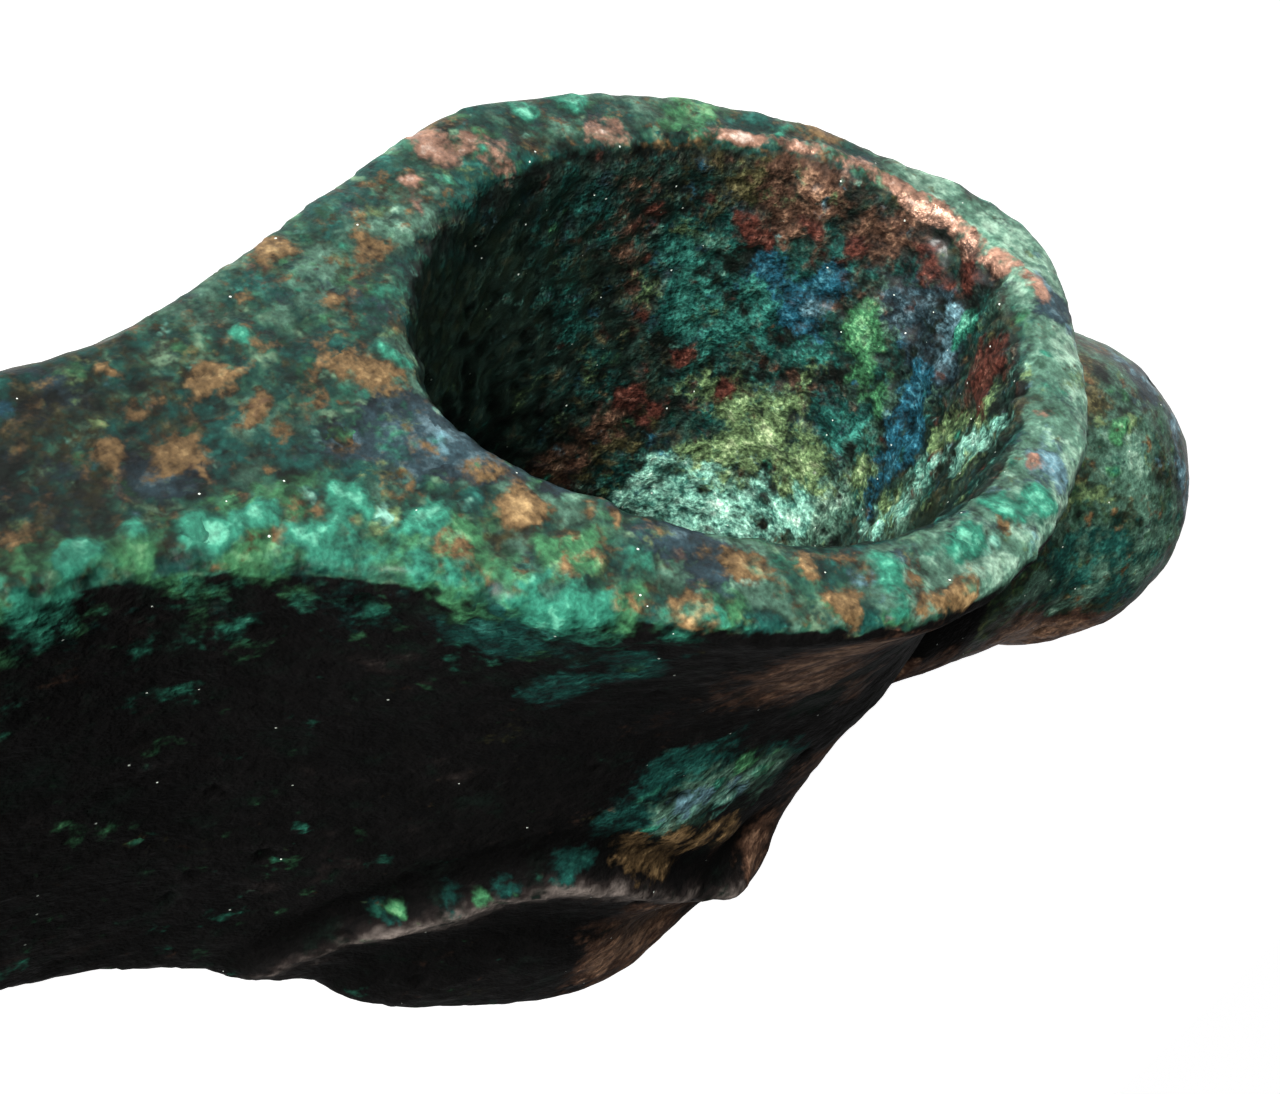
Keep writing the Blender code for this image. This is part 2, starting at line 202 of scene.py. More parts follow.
# ---- where each kind of patina lies ----
# From the deepest layer to the topmost. "size" is the width of its patches in mm, "thick" how far it stands up in mm.
# "side", "face", "eye" and "knob" say how much of that zone it covers, where 0.5 is about half.
# Each spot has its middle (mm on the head) and its reach (mm). "tones" run from dark to light.
patina = {
    "earthBrown": {
        "size": 3.2, "thick": 0.0, "side": 0.06, "face": 0.42, "eye": 0.40, "knob": 0.50,
        "tones": ("#15150d", "#35331f", "#6a6446"),
        "spots": [(-6, 3, -9, 2.6), (-3.6, 17, -8.8, 2.2), (-28, 12.5, 3, 3.0), (-27, 13, -3, 3.0)],
    },
    "deepTeal": {
        "size": 3.4, "thick": 0.03, "side": 0.04, "face": 0.54, "eye": 0.48, "knob": 0.36,
        "tones": ("#071918", "#14403a", "#347367"),
        "spots": [
            (-5.4, 6.1, -9.5, 1.7), (-7.4, 5.6, -8.4, 1.7), (-8.0, 8.3, -7.6, 2.1), (-5.9, 8.9, -8.7, 1.6), (-8.4, 11.0, -6.7, 2.0),
            (-11.3, 11.8, -1.0, 1.8), (-11.3, 4.4, -5.0, 1.6), (-10.6, 9.4, -4.4, 1.8), (-10.8, 13.6, 0.8, 1.4),
            (6.6, 14.7, 10.6, 1.6), (4.8, 15.2, 10.8, 1.4), (-24.6, 17.0, 8.2, 2.0), (-27.6, 17.4, 8.8, 2.4),
            (11.2, 4.0, 11.0, 1.6), (15.6, 2.0, 9.0, 1.6), (13.0, 6.0, 10.0, 1.4), (-30.6, 18.0, 8.4, 2.2),
            (3.4, 17.2, 11.2, 3.0), (6.4, 17.6, 10.9, 2.2), (0.4, 18.4, 11.3, 2.0), (-2.0, 18.6, 11.0, 1.9),
            (16.5, 24.4, 8.2, 1.2), (14.0, 23.0, 9.3, 1.2), (11.5, 21.7, 10.2, 1.1), (9.0, 21.0, 11.0, 0.9),
        ],
    },
    "greyGreen": {
        "size": 2.8, "thick": 0.05, "side": 0.0, "face": 0.42, "eye": 0.26, "knob": 0.50,
        "tones": ("#20362b", "#48695a", "#8aa895"),
        "spots": [
            (-15.4, 0, 2.0, 2.0), (-14.6, 0, 6.0, 2.0), (-12.4, 0, 9.0, 2.0), (-16.0, 0, -2.0, 1.8), (-8.0, 0, 11.6, 1.8),
            (-14.8, 0, -6.0, 1.6), (-5.0, 0, 12.6, 1.8), (-1.3, 0, 13.8, 1.7), (2.4, 0, 13.4, 1.4),
            (8.0, 0, 11.0, 1.2), (14.6, 0, 4.0, 1.2), (-10.4, 14.5, 0.5, 2.2), (-9.9, 10.2, 4.8, 2.0), (-8.6, 17.6, -5.0, 2.8),
            (-12.2, 8.8, 0.2, 1.4), (-12.9, 6.2, 1.2, 1.4), (-1.4, 19.2, 11.1, 1.5), (-12.4, 5.0, -3.0, 1.4),
            (2.2, 17.8, 11.3, 2.9), (4.2, 17.4, 11.1, 2.2), (-0.8, 18.8, 11.3, 1.8), (-27.6, 13.0, 4.4, 2.0),
        ],
    },
    "slate": {
        "size": 2.2, "thick": 0.02, "side": -0.05, "face": 0.30, "eye": 0.26, "knob": 0.20,
        "tones": ("#0e161b", "#23353c", "#587078"),
        "spots": [
            (15.8, 0, 2.0, 1.8), (15.1, 0, 3.2, 1.6), (24.8, 0, 1.6, 1.3), (-13.1, 4.3, -0.5, 1.8), (-12.9, 5.2, 0.6, 1.6), (-12.9, 3.9, -2.1, 1.3),
            (12.6, 0, 4.6, 1.2), (9.6, 0, 9.3, 1.1), (18.4, 0, 2.0, 1.0), (8.2, 0, 10.4, 1.0), (-14.9, 0, 3.4, 0.9),
            (-33.0, 14.0, 6.2, 1.4), (-33.6, 12.4, 3.6, 1.6), (-33.0, 11.0, 1.0, 1.6), (-31.8, 10.6, -1.2, 1.4), (-33.4, 15.6, 7.4, 1.2),
        ],
    },
    # warm brown patina; its spots on the socket's flare and waist, the ridge's facet and foot and the knob's underside
    # are painted warm bounce light, those inside the eye are brown patina
    "warmBrownAndBounce": {
        "size": 3.6, "thick": 0.0, "side": 0.10, "face": 0.08, "eye": 0.28, "knob": 0.08,
        "tones": ("#231812", "#503a2e", "#94745d"),
        "spots": [
            (3.6, 1.6, 14.6, 2.0), (3.8, 4.6, 13.2, 2.2), (3.9, 7.3, 12.3, 2.2), (3.0, 9.6, 11.7, 2.2), (-1.0, 11.4, 11.4, 2.6),
            (-3.0, 6.0, 13.0, 2.2), (-4.6, 13.4, 11.0, 1.8), (4.6, 28.6, 12.3, 2.0), (2.9, 29.6, 12.5, 2.2), (3.7, 32.6, 12.3, 2.0),
            (0.6, 34.0, 12.2, 2.4), (-25.4, 23.5, 8.8, 2.8), (-21.6, 21.5, 7.6, 2.8),
            (-29.0, 25.0, 8.0, 2.8), (-3.4, 28.4, 12.0, 1.0), (-3.6, 16.4, -8.4, 1.7), (-1.2, 18.2, -8.8, 1.5), (-9.6, 2.0, -8.0, 2.0), (-12.6, 1.6, -4.6, 1.6), (-0.4, 24.6, 11.9, 1.0),
        ],
    },
    # black patina patches; its four spots along the side under the rim (y 6 to 12 mm) are a painted crease shadow, and
    # it also grows over the eye's painted shade
    "blackPatinaAndShade": {
        "size": 2.2, "thick": -0.05, "side": 0.30, "face": 0.27, "eye": 0.40, "knob": 0.25,
        "tones": ("#060a08", "#0e1713", "#1b2823"),
        "spots": [
            (18.9, 0, 1.6, 0.7), (20.6, 0, 3.0, 0.5), (-1.2, 12.4, 11.3, 1.4), (-2.4, 10.6, 11.6, 1.3), (-3.4, 8.4, 12.1, 1.3), (-4.4, 6.0, 12.6, 1.2),
        ],
    },
    "yellowGreen": {
        "size": 1.8, "thick": 0.05, "side": 0.0, "face": 0.22, "eye": 0.22, "knob": 0.20,
        "tones": ("#2b3a26", "#5f7750", "#a9b98f"),
        "spots": [
            (-9.9, 13.9, -4.2, 2.1), (-9.1, 15.8, -4.8, 1.9), (-7.9, 17.7, -5.7, 1.4), (-10.7, 15.3, -1.5, 1.7),
            (-11.3, 12.3, 1.4, 1.2), (-11.2, 6.3, 4.1, 1.3), (-9.7, 3.8, 6.7, 1.2), (-11.0, 2.6, 5.5, 1.0), (-9.9, 11.1, 4.2, 1.3),
            (-7.6, 13.2, -7.0, 1.2), (14.1, 23.4, 9.2, 0.4), (17.1, 24.8, 7.9, 0.35),
            (18.8, 0, 5.3, 0.8), (12.9, 0, 9.6, 0.6), (-26.0, 14.2, 5.0, 1.3), (-29.0, 12.6, 3.4, 1.2),
        ],
    },
    "mint": {
        "size": 1.4, "thick": 0.06, "side": -0.05, "face": 0.13, "eye": 0.12, "knob": 0.10,
        "tones": ("#33655a", "#7cae9c", "#d4eadb"),
        "spots": [
            (-8.1, 20.3, -4.7, 2.7), (-9.4, 19.6, -2.9, 2.4), (-10.5, 17.4, -0.9, 2.1), (-5.8, 19.8, -6.9, 1.9),
            (-10.4, 7.6, 4.8, 1.3), (-9.7, 4.8, 6.3, 1.3), (-9.3, 2.8, 6.9, 1.1), (-10.0, 9.8, 4.8, 1.4), (-10.2, 12.9, 3.9, 1.3),
            (18.9, 0, 5.2, 0.6), (14.1, 23.4, 9.2, 0.3), (3.2, 18.4, 11.4, 1.5), (1.2, 19.4, 11.5, 1.4), (4.8, 19.2, 11.4, 1.0), (-2.6, 0, 13.2, 0.8),
        ],
    },
    "leafGreen": {
        "size": 1.7, "thick": 0.09, "side": 0.0, "face": 0.27, "eye": 0.12, "knob": 0.20,
        "tones": ("#15301f", "#356644", "#78aa7c"),
        "spots": [
            (-12.0, 6.6, -3.3, 1.1), (-12.0, 7.7, -2.5, 1.2), (-12.0, 8.9, -1.9, 1.1), (-12.2, 9.4, -0.5, 0.9), (22.0, 0, 4.2, 1.0),
            (17.2, 0, 6.4, 1.0), (-28.0, 11.4, 3.6, 0.7), (-26.6, 12.6, 5.2, 0.6), (13.6, 0, 8.6, 1.0), (-5.6, 0, -12.9, 1.6),
            (15.8, 24.2, 8.4, 0.55), (14.2, 23.3, 9.1, 0.55), (12.6, 22.4, 9.8, 0.55),
            (-0.6, 18.2, 11.2, 0.9), (1.0, 16.4, 11.2, 0.9),
        ],
    },
    "blue": {
        "size": 1.6, "thick": 0.03, "side": -0.15, "face": 0.08, "eye": 0.20, "knob": 0.04,
        "tones": ("#081a20", "#1a4858", "#4d8794"),
        "spots": [
            (-10.3, 7.4, -5.7, 1.3), (-9.9, 6.7, -6.2, 1.2), (-12.0, 7.9, 1.1, 1.3), (-11.6, 9.4, 2.2, 1.3), (-12.7, 6.6, 0.6, 0.9),
            (-11.3, 11.0, 2.0, 1.0), (-11.0, 12.6, 2.4, 0.8), (-11.2, 5.2, -5.4, 1.1), (28.1, 0, -2.5, 0.5), (-8.8, 5.8, -7.4, 1.0),
        ],
    },
    "skyBlue": {
        "size": 1.8, "thick": 0.03, "side": -0.10, "face": 0.10, "eye": 0.10, "knob": 0.12,
        "tones": ("#22343a", "#557680", "#9bb8bd"),
        "spots": [
            (-33.0, 14.0, 6.2, 1.1), (-33.6, 12.4, 3.6, 1.3), (-33.0, 11.0, 1.0, 1.3), (-31.8, 10.6, -1.2, 1.2), (-33.4, 15.6, 7.4, 1.0),
            (2.2, 18.2, 11.3, 1.7), (4.4, 18.4, 11.2, 1.4), (0.2, 19.2, 11.4, 1.2), (-15.2, 0, 2.4, 0.9), (-14.6, 0, 4.6, 0.9), (-12.6, 4.4, 1.6, 1.2),
            (-13.2, 3.4, 0.0, 1.2), (-3.6, 0, 12.7, 1.8), (-7.6, 0, 10.8, 1.7), (-10.4, 6.6, -5.6, 0.8), (15.6, 0, 2.6, 0.8), (3.2, 0, 13.0, 0.9),
        ],
    },
    "redBrown": {
        "size": 1.3, "thick": 0.07, "side": 0.0, "face": 0.12, "eye": 0.22, "knob": 0.14,
        "tones": ("#1e0e0c", "#46261f", "#7f564a"),
        "spots": [
            (-12.2, 2.2, 3.7, 1.4), (-11.6, 3.1, 4.3, 1.3), (-12.3, 4.0, 3.4, 0.9), (-13.6, 1.5, -1.3, 1.2), (-13.4, 2.2, -2.4, 0.9), (-10.7, 7.0, 4.2, 0.6),
            (-4.0, 14.5, -8.5, 0.9), (-5.5, 14.6, -7.8, 0.7), (-5.7, 11.6, -8.3, 0.6), (-11.4, 3.1, -5.3, 0.8), (-10.2, 3.4, -6.9, 0.7),
            (-8.2, 12.9, -6.2, 0.6), (-9.2, 10.8, -5.8, 0.5), (7.2, 16.3, 10.7, 0.5), (6.3, 0, -11.8, 0.6), (-7.8, 4.2, -8.2, 0.9),
        ],
    },
    "ochre": {
        "size": 1.5, "thick": 0.07, "side": 0.0, "face": 0.29, "eye": 0.10, "knob": 0.22,
        "tones": ("#2a2012", "#645036", "#a0865f"),
        "spots": [
            (23.8, 0, 0.8, 0.85), (17.2, 0, -7.8, 0.8), (13.4, 0, -7.3, 0.95), (16.3, 0, -4.3, 0.5), (16.8, 0, -1.5, 0.9),
            (20.7, 0, -0.4, 0.6), (20.4, 0, 1.1, 0.5), (21.7, 0, -2.3, 0.65), (24.8, 0, -3.5, 0.42), (25.7, 0, 0.0, 0.48),
            (29.3, 0, 2.5, 0.6), (13.9, 0, 6.1, 1.0), (22.2, 0, 4.8, 0.4), (7.4, 0, 11.1, 0.85), (5.6, 0, 11.4, 0.5),
            (5.2, 0, 13.4, 0.65), (10.3, 0, 11.9, 0.7), (19.0, 0, -6.0, 0.45), (-11.6, 0, -11.0, 1.2), (10.7, 0, 8.0, 0.3),
            (5.9, 19.8, 11.4, 1.3), (5.2, 21.2, 11.8, 1.7), (3.6, 21.8, 11.9, 1.8), (1.8, 22.2, 12.0, 1.9), (0.2, 22.8, 11.9, 1.5),
            (16.7, 24.4, 8.1, 0.45), (-25.0, 14.4, 6.4, 0.5), (-26.2, 14.2, 6.9, 0.5), (-3.6, 0, 12.4, 0.6), (0.1, 0, 14.6, 0.7),
        ],
    },
    "bareCopper": {
        "size": 1.4, "thick": -0.02, "side": 0.0, "face": 0.10, "eye": 0.04, "knob": 0.0,
        "tones": ("#4c382f", "#92705f", "#d8cabf"),
        "spots": [
            (-0.1, 0, -12.1, 1.1), (6.3, 0, -11.8, 1.5), (8.4, 0, -12.2, 1.3), (-6.4, 0, -10.4, 0.7),
            (-9.2, 0, 8.6, 0.6), (-7.3, 0, 10.3, 0.7), (10.6, 0, -9.8, 0.8),
        ],
    },
    "turquoise": {
        "size": 1.9, "thick": 0.12, "side": 0.0, "face": 0.25, "eye": 0.14, "knob": 0.16,
        "tones": ("#0b2e26", "#276553", "#67ac93"),
        "spots": [
            (28.4, 0, 3.7, 0.7), (24.1, 0, 3.9, 0.9), (22.3, 0, 3.9, 0.8), (19.5, 0, 4.4, 0.9), (17.4, 0, 5.6, 0.8),
            (11.6, 0.2, -6.4, 0.6), (15.0, 0, -1.3, 0.6), (2.8, 0, 13.3, 1.0), (-4.2, 0, 11.6, 0.9), (19.8, 0, -4.1, 0.6),
            (-1.0, 0, 12.8, 0.8), (9.8, 11.6, 9.9, 0.45), (-13.3, 2.7, 1.2, 0.8), (-13.1, 3.7, 1.1, 0.6), (-13.5, 2.2, 0.2, 0.5),
            (5.6, 16.6, 10.9, 0.9), (2.2, 17.4, 11.2, 0.8), (-0.4, 18.4, 11.2, 1.0), (5.6, 19.0, 11.3, 0.6),
            (-9.1, 0, -10.6, 0.5), (0.9, 0, -14.4, 0.8), (3.2, 0, -14.0, 0.7), (-5.8, 0, 12.2, 1.0),
            (7.6, 13.6, 10.5, 0.45), (18.3, 11.2, 7.1, 0.3), (24.6, 12.7, 5.2, 0.3), (19.7, 17.7, 6.5, 0.32), (12.2, 9.4, 9.2, 0.4),
        ],
    },
}

places = [Vector(p) for p in points]


def fieldOf(size, octaves, seed):
    # cloudy noise whose features are about this many mm across
    shift = Vector((7.31 * seed, -3.17 * seed, 5.03 * seed))
    return np.array([noise.fractal(p / size + shift, 1.0, 2.0, octaves) for p in places])


print("laying out the patina")
noise.seed_set(7)  # the same patches every run
wander = np.array([noise.noise_vector(p / 1.9) for p in places]) * 0.75
wander += np.array([noise.noise_vector(p / 0.7 + Vector((3, 9, 4))) for p in places]) * 0.28
moved = points + wander
x, y, z = points.T
fromAxis = fromEyeAxis(points)
zones = {}
zones["eye"] = softStep(1.24, 1.08, fromAxis) * softStep(0.1, 0.9, y) * softStep(39.5, 38.0, y)
zones["face"] = softStep(0.30, 0.75, -normals[:, 1]) * softStep(3.0, 1.2, y + wander[:, 0]) * (1 - zones["eye"])
foot = softStep(0.4, 0.8, normals[:, 1]) * softStep(20.0, 24.0, y) * (1 - zones["eye"])
zones["face"] = np.maximum(zones["face"], 0.85 * foot)
knobAway = np.linalg.norm((points - (-27.5, 20.2, 0)) * (0.8, 1, 1), axis=1)
zones["knob"] = softStep(13.0, 10.5, knobAway) * softStep(-16.5, -19.0, x)
zones["side"] = 1 - np.maximum(np.maximum(zones["eye"], zones["face"]), zones["knob"])

# how far in from the visible edge of the mouth face, mm
along = np.clip((x - 1.0) / 26.0, 0, 1)
halfWide = 4.9 + 10.9 * (0.5 + 0.5 * np.cos(np.pi * along)) ** 0.82
halfWide = np.where(x > 27, 0.4 + 4.5 * (1 - np.clip((x - 27) / 69, 0, 1) ** 1.2), halfWide)
inFromEdge = halfWide - z
band = softStep(3.6, 0.8, inFromEdge + 0.8 * wander[:, 1]) * softStep(7, 14, x) * (1 - zones["eye"])
overhang = band * softStep(2.4, 0.4, y + 1.4 * wander[:, 2] - 0.03 * np.clip(20 - x, 0, 10))
hidden = np.clip(softStep(2, -3, z) * softStep(2.5, 6, y) + softStep(34, 40, x) + softStep(34, 37, y), 0, 1) * (1 - zones["eye"])

around = np.sqrt(fromAxis)
# the worn lip on the far side of the mouth, coloured pale copper as a painted highlight
lipAndHighlight = softStep(0.055, 0.012, np.abs(around - 1.07)) * softStep(1.5, 0.5, y) * softStep(-1.0, -6.0, x) * softStep(6, 1, z)
lipAndHighlight *= softStep(-13, -10, z)
rightRim = zones["face"] * softStep(2, -4, x) * softStep(-9, -5, z)
# painted light on the eye's lower wall toward the butt, where the lamp falls
paintedLowWallLight = zones["eye"] * softStep(-4, -8, x)
# painted shade on the eye's wall toward the blade: lighter patina is cut back there and black raised
paintedEyeShade = zones["eye"] * softStep(-2.5, 4.5, x + wander[:, 1])

# the arched ridge on the visible side: its crest (x, y), with a hollow above and below it
crestLine = [(-4, 27.4), (-2, 28.2), (0.3, 27.8), (3.7, 24.9), (6.3, 22.9), (9.2, 22.0), (11.7, 22.8), (15.5, 25.2), (19.2, 28.4), (25, 33.0)]
past = y - np.interp(x, *np.array(crestLine).T)
onRidge = softStep(4, 7, z) * softStep(-4.5, -1.5, x) * softStep(25, 17, x) * (1 - zones["eye"])
# a painted grey highlight just below the ridge's crest
paintedCrestHighlight = np.exp(-((past - 0.5) / 1.25) ** 2) * onRidge

# painted warm bounce light, coloured as smooth brown bronze: the ridge's facet and foot on the right, the flare of the
# socket, the knob from below
paintedWarmBounce = softStep(9.5, 1.0, x + 1.6 * wander[:, 0]) * softStep(0.0, 2.4, past) * onRidge
paintedWarmBounce += softStep(6, 0, x + wander[:, 1]) * softStep(30, 33, y) * softStep(4, 7, z)
paintedWarmBounce += softStep(-3.2, 0.4, x) * softStep(8, 3, x + 0.25 * y) * softStep(14, 8, y) * softStep(8, 11, z) * softStep(0.6, 2.0, y)
paintedWarmBounce += softStep(18, 22.5, y + wander[:, 1]) * softStep(-9, -13, x) * softStep(2, 6, z)
paintedWarmBounce += softStep(-1.2, -3.4, x) * softStep(-10, -6, x) * softStep(17, 21, y) * softStep(34, 30, y) * softStep(6, 9, z)
paintedWarmBounce = np.clip(paintedWarmBounce, 0, 1) * (1 - zones["eye"])

covers = {}
hiddenSide = hidden * zones["side"] * (0.1 + 0.9 * softStep(-0.15, 0.35, fieldOf(9.0, 2, 7)))
fringe = zones["side"] * softStep(8.0, 1.0, y + 2.0 * wander[:, 0]) * softStep(-2, 6, z) * softStep(6, 13, x)
farFace = zones["face"] * softStep(17, 29, x)
raised = {  # cover that a layer gains in a place
    "deepTeal": 0.10 * hiddenSide + 0.28 * fringe - 0.10 * farFace - 0.12 * paintedEyeShade,
    "greyGreen": 0.10 * hidden - 0.26 * farFace + 0.05 * overhang - 0.2 * paintedEyeShade - 0.3 * paintedWarmBounce + 0.14 * rightRim,
    "earthBrown": 0.20 * farFace + 0.10 * hidden - 0.2 * paintedEyeShade,
    "warmBrownAndBounce": 0.14 * hiddenSide - 0.2 * paintedEyeShade + 0.48 * paintedWarmBounce,
    "leafGreen": 0.15 * band + 0.20 * overhang + 0.17 * fringe + 0.16 * hiddenSide - 0.08 * farFace - 0.3 * paintedWarmBounce - 0.08 * rightRim,
    "ochre": 0.04 * band + 0.10 * hiddenSide + 0.03 * zones["face"] - 0.05 * farFace - 0.14 * rightRim,
    "turquoise": 0.15 * band + 0.20 * overhang + 0.12 * fringe + 0.20 * hiddenSide - 0.18 * farFace - 0.3 * paintedWarmBounce,
    "blackPatinaAndShade": -0.10 * hidden + 0.10 * fringe + 0.12 * farFace + 0.04 * band + 0.10 * paintedEyeShade - 0.35 * paintedWarmBounce - 0.14 * rightRim,
    "yellowGreen": -0.3 * paintedWarmBounce,
    "redBrown": -0.10 * paintedEyeShade - 0.06 * rightRim,
    "slate": -0.10 * paintedEyeShade,
    "bareCopper": 0.54 * lipAndHighlight,
}
for seed, (name, layer) in enumerate(patina.items()):
    level = sum(zones[zone] * layer[zone] for zone in ("side", "face", "eye", "knob"))
    cover = level + raised.get(name, 0) + 0.34 * fieldOf(layer["size"], 3, 11 + seed)
    free = 1.0
    for sx, sy, sz, reach in layer["spots"]:
        free = free * (1 - softStep(1.8, 0.0, np.linalg.norm(moved - (sx, sy, sz), axis=1) / reach))
    cover += (0.60 + 0.08 * zones["side"]) * (1 - free)
    covers[name] = np.clip(cover, 0, 1.1)

print("raising crust, pits and grain")
swell = fieldOf(8.0, 2, 1)
lumps = fieldOf(2.6, 3, 2)
grains = fieldOf(1.0, 3, 3)
pitNoise = np.array([noise.voronoi(p / 3.4 + Vector((5, 5, 5)))[0][0] for p in places])
alongBlade = np.array([noise.fractal(Vector((p.x / 4.2 + p.y / 5, p.y / 2.2, p.z / 3)), 1.0, 2.0, 2) for p in places])
alongSocket = np.array([noise.fractal(Vector((p.x / 1.7, p.y / 5, p.z / 3)), 1.0, 2.0, 2) for p in places])
toSocket = softStep(13, 5, x)
streaks = (alongBlade * (1 - toSocket) + alongSocket * toSocket) * softStep(-0.25, 0.35, fieldOf(6.0, 2, 5))

relief = shape["swell"] * swell + shape["lumps"] * lumps
relief += grains * (shape["grains"] + shape["eyeGrains"] * zones["eye"] * softStep(27, 22, y))
relief += shape["streaks"] * streaks * zones["side"]
for name, layer in patina.items():
    relief += layer["thick"] * softStep(0.42, 0.62, covers[name]) * (0.8 + 0.5 * lumps)
relief -= shape["pitDeep"] * softStep(0.18, 0.06, pitNoise) * (1 - 0.6 * np.maximum(zones["eye"], zones["face"]))
rimEdges = softStep(0.30, 0.05, np.abs(around - 1.08)) * softStep(2.5, 0.5, y)
relief += shape["rimNicks"] * rimEdges * (1 - 0.6 * softStep(-5, -10, x)) * fieldOf(1.9, 3, 4)
relief += shape["lipHigh"] * lipAndHighlight * (0.8 + 0.5 * lumps)

crest = np.exp(-(past / 0.8) ** 2) * onRidge
relief += shape["crest"] * crest * (0.85 + 0.6 * lumps)
relief -= shape["aboveCrest"] * np.exp(-((past + 2.4) / 1.4) ** 2) * onRidge
relief -= shape["belowCrest"] * np.exp(-((past - 4.2) / 2.4) ** 2) * onRidge

heightInRoom = 1000 * (points / 1000 @ np.array(headToRoom)[2, :3] + lie["place"][2])
relief *= softStep(0.1, 1.4, heightInRoom)  # true at the rests
relief *= 1 - 0.6 * softStep(60, 80, x)
points = points + normals * relief[:, None]
writePoints(even, points)
for polygon in even.polygons:
    polygon.use_smooth = True

# hollows darker, as dirt and painted shade; high spots lighter, as rubbing and painted highlight; painted light on the
# lug and on the eye's lower wall
a, b = pairs.T
count = np.bincount(pairs.ravel(), minlength=len(points))
around = np.stack([np.bincount(a, points[b, k], len(points)) + np.bincount(b, points[a, k], len(points)) for k in range(3)], 1)
hollow = np.einsum("ij,ij->i", around / count[:, None] - points, normals)
# painted light on the lug's patch
paintedLugLight = np.exp(-(np.linalg.norm(points - (2.5, 19.8, 11.4), axis=1) / 4.0) ** 2)
covers["wornAndShaded"] = 0.5 + 1.1 * (relief - shape["swell"] * swell) - 9 * hollow - 0.30 * farFace + 0.16 * paintedLowWallLight + 0.35 * paintedLugLight
covers["wornAndShaded"] = np.clip(covers["wornAndShaded"], 0, 1.1)
covers["streaksAndCrestHighlight"] = np.clip(0.5 + 0.26 * streaks * (1 - paintedCrestHighlight) + 0.5 * paintedCrestHighlight * (0.9 + 0.5 * lumps), 0, 1)
covers["waxed"] = 0.14 * zones["face"] + 0.50 * zones["eye"] * softStep(28, 18, y) + 0.34 * zones["knob"] * (1 - paintedWarmBounce)
covers["dry"] = zones["side"] + zones["eye"] * softStep(22, 29, y)
covers["grainy"] = np.clip(0.20 + 0.40 * zones["eye"] + 0.12 * zones["knob"] - 0.10 * farFace, 0, 1)
for name, values in {**zones, **covers}.items():
    layer = even.attributes.new(name, "FLOAT", "POINT")
    layer.data.foreach_set("value", values.astype(np.float32))

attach(head, "root")
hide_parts("axe_head")

# ---- material ----
print("mixing the patina")
bronze = bpy.data.materials.new("cast tin bronze, corroded in the ground")
bronze.use_nodes = True
tree = bronze.node_tree
tree.nodes.clear()
output = addNode(tree, "OutputMaterial")
shader = addNode(tree, "BsdfPrincipled")
tree.links.new(shader.outputs[0], output.inputs[0])
coords = addNode(tree, "TexCoord")
inMm = addNode(tree, "Mapping", {"Scale": (1000, 1000, 1000)}, {"Vector": coords.outputs["Object"]})
where = inMm.outputs[0]


def addCloud(size, detail=5.0, roughness=0.6, stretch=(1, 1, 1), turn=(0, 0, 0), shift=0.0, twist=0.0):
    # noise with features about this many mm across
    placed = addNode(tree, "Mapping", {"Scale": stretch, "Rotation": turn, "Location": (shift, shift, shift)}, {"Vector": where})
    values = {"Scale": 1 / size, "Detail": detail, "Roughness": roughness, "Distortion": twist}
    return addNode(tree, "TexNoise", values, {"Vector": placed.outputs[0]}).outputs["Fac"]


def addRamp(source, stops):
    ramp = addNode(tree, "ValToRGB", links={"Fac": source})
    for i, (place, colour) in enumerate(stops):
        stop = ramp.color_ramp.elements[i] if i < 2 else ramp.color_ramp.elements.new(place)
        stop.position = place
        stop.color = toLinear(colour)
    return ramp.outputs["Color"]


def addCover(name, edge, soft):
    # where a layer lies: its painted cover, with a border that follows the noise
    layer = addNode(tree, "Attribute", attribute_name=name)
    total = addNode(tree, "Math", links={0: layer.outputs["Fac"], 1: edge}, operation="ADD").outputs[0]
    ends = {"From Min": 0.5 - soft, "From Max": 0.5 + soft}
    return total, addNode(tree, "MapRange", ends, {"Value": total}, interpolation_type="SMOOTHSTEP").outputs[0]


def addOver(below, above, mask):
    return addNode(tree, "Mix", links={"Factor": mask, 6: below, 7: above}, data_type="RGBA").outputs[2]


grainy = addNode(tree, "Attribute", attribute_name="grainy").outputs["Fac"]
midCloud = addCloud(1.3, 2, 0.7, shift=11)
toneClouds = [addCloud(0.6, 2, 0.6, shift=23), addCloud(0.95, 2, 0.62, shift=31)]

# crust grows in small rounded cells, each of its own shade
bend = addNode(tree, "CombineXYZ", links={0: toneClouds[0], 1: toneClouds[1], 2: midCloud})
bent = addNode(tree, "VectorMath", {1: (1.1, 1.1, 1.1)}, {0: bend.outputs[0], 2: where}, operation="MULTIPLY_ADD").outputs[0]
greyMiddle = addNode(tree, "CombineColor", {0: 0.5, 1: 0.5, 2: 0.5})
cells = []
for size in (1.15, 0.5):
    cell = addNode(tree, "TexVoronoi", {"Scale": 1 / size, "Randomness": 1.0}, {"Vector": bent})
    ends = {"From Min": 0.62, "From Max": 0.12}
    core = addNode(tree, "MapRange", ends, {"Value": cell.outputs["Distance"]}, interpolation_type="SMOOTHSTEP").outputs[0]
    shades = addOver(greyMiddle.outputs[0], cell.outputs["Color"], core)
    cells += list(addNode(tree, "SeparateColor", links={"Color": shades}).outputs)[:3]
edgeClouds = []
for i in range(3):
    rough = addCloud(0.45 + 0.15 * i, 2, 0.65, shift=51 + 13 * i)
    both = addNode(tree, "Math", {1: 0.42}, {0: cells[i], 2: rough}, operation="MULTIPLY_ADD").outputs[0]
    edgeClouds.append(addNode(tree, "Math", {1: 0.75, 2: -0.5325}, {0: both}, operation="MULTIPLY_ADD").outputs[0])
grainCloud = addCloud(0.20, 2, 0.6, shift=37)
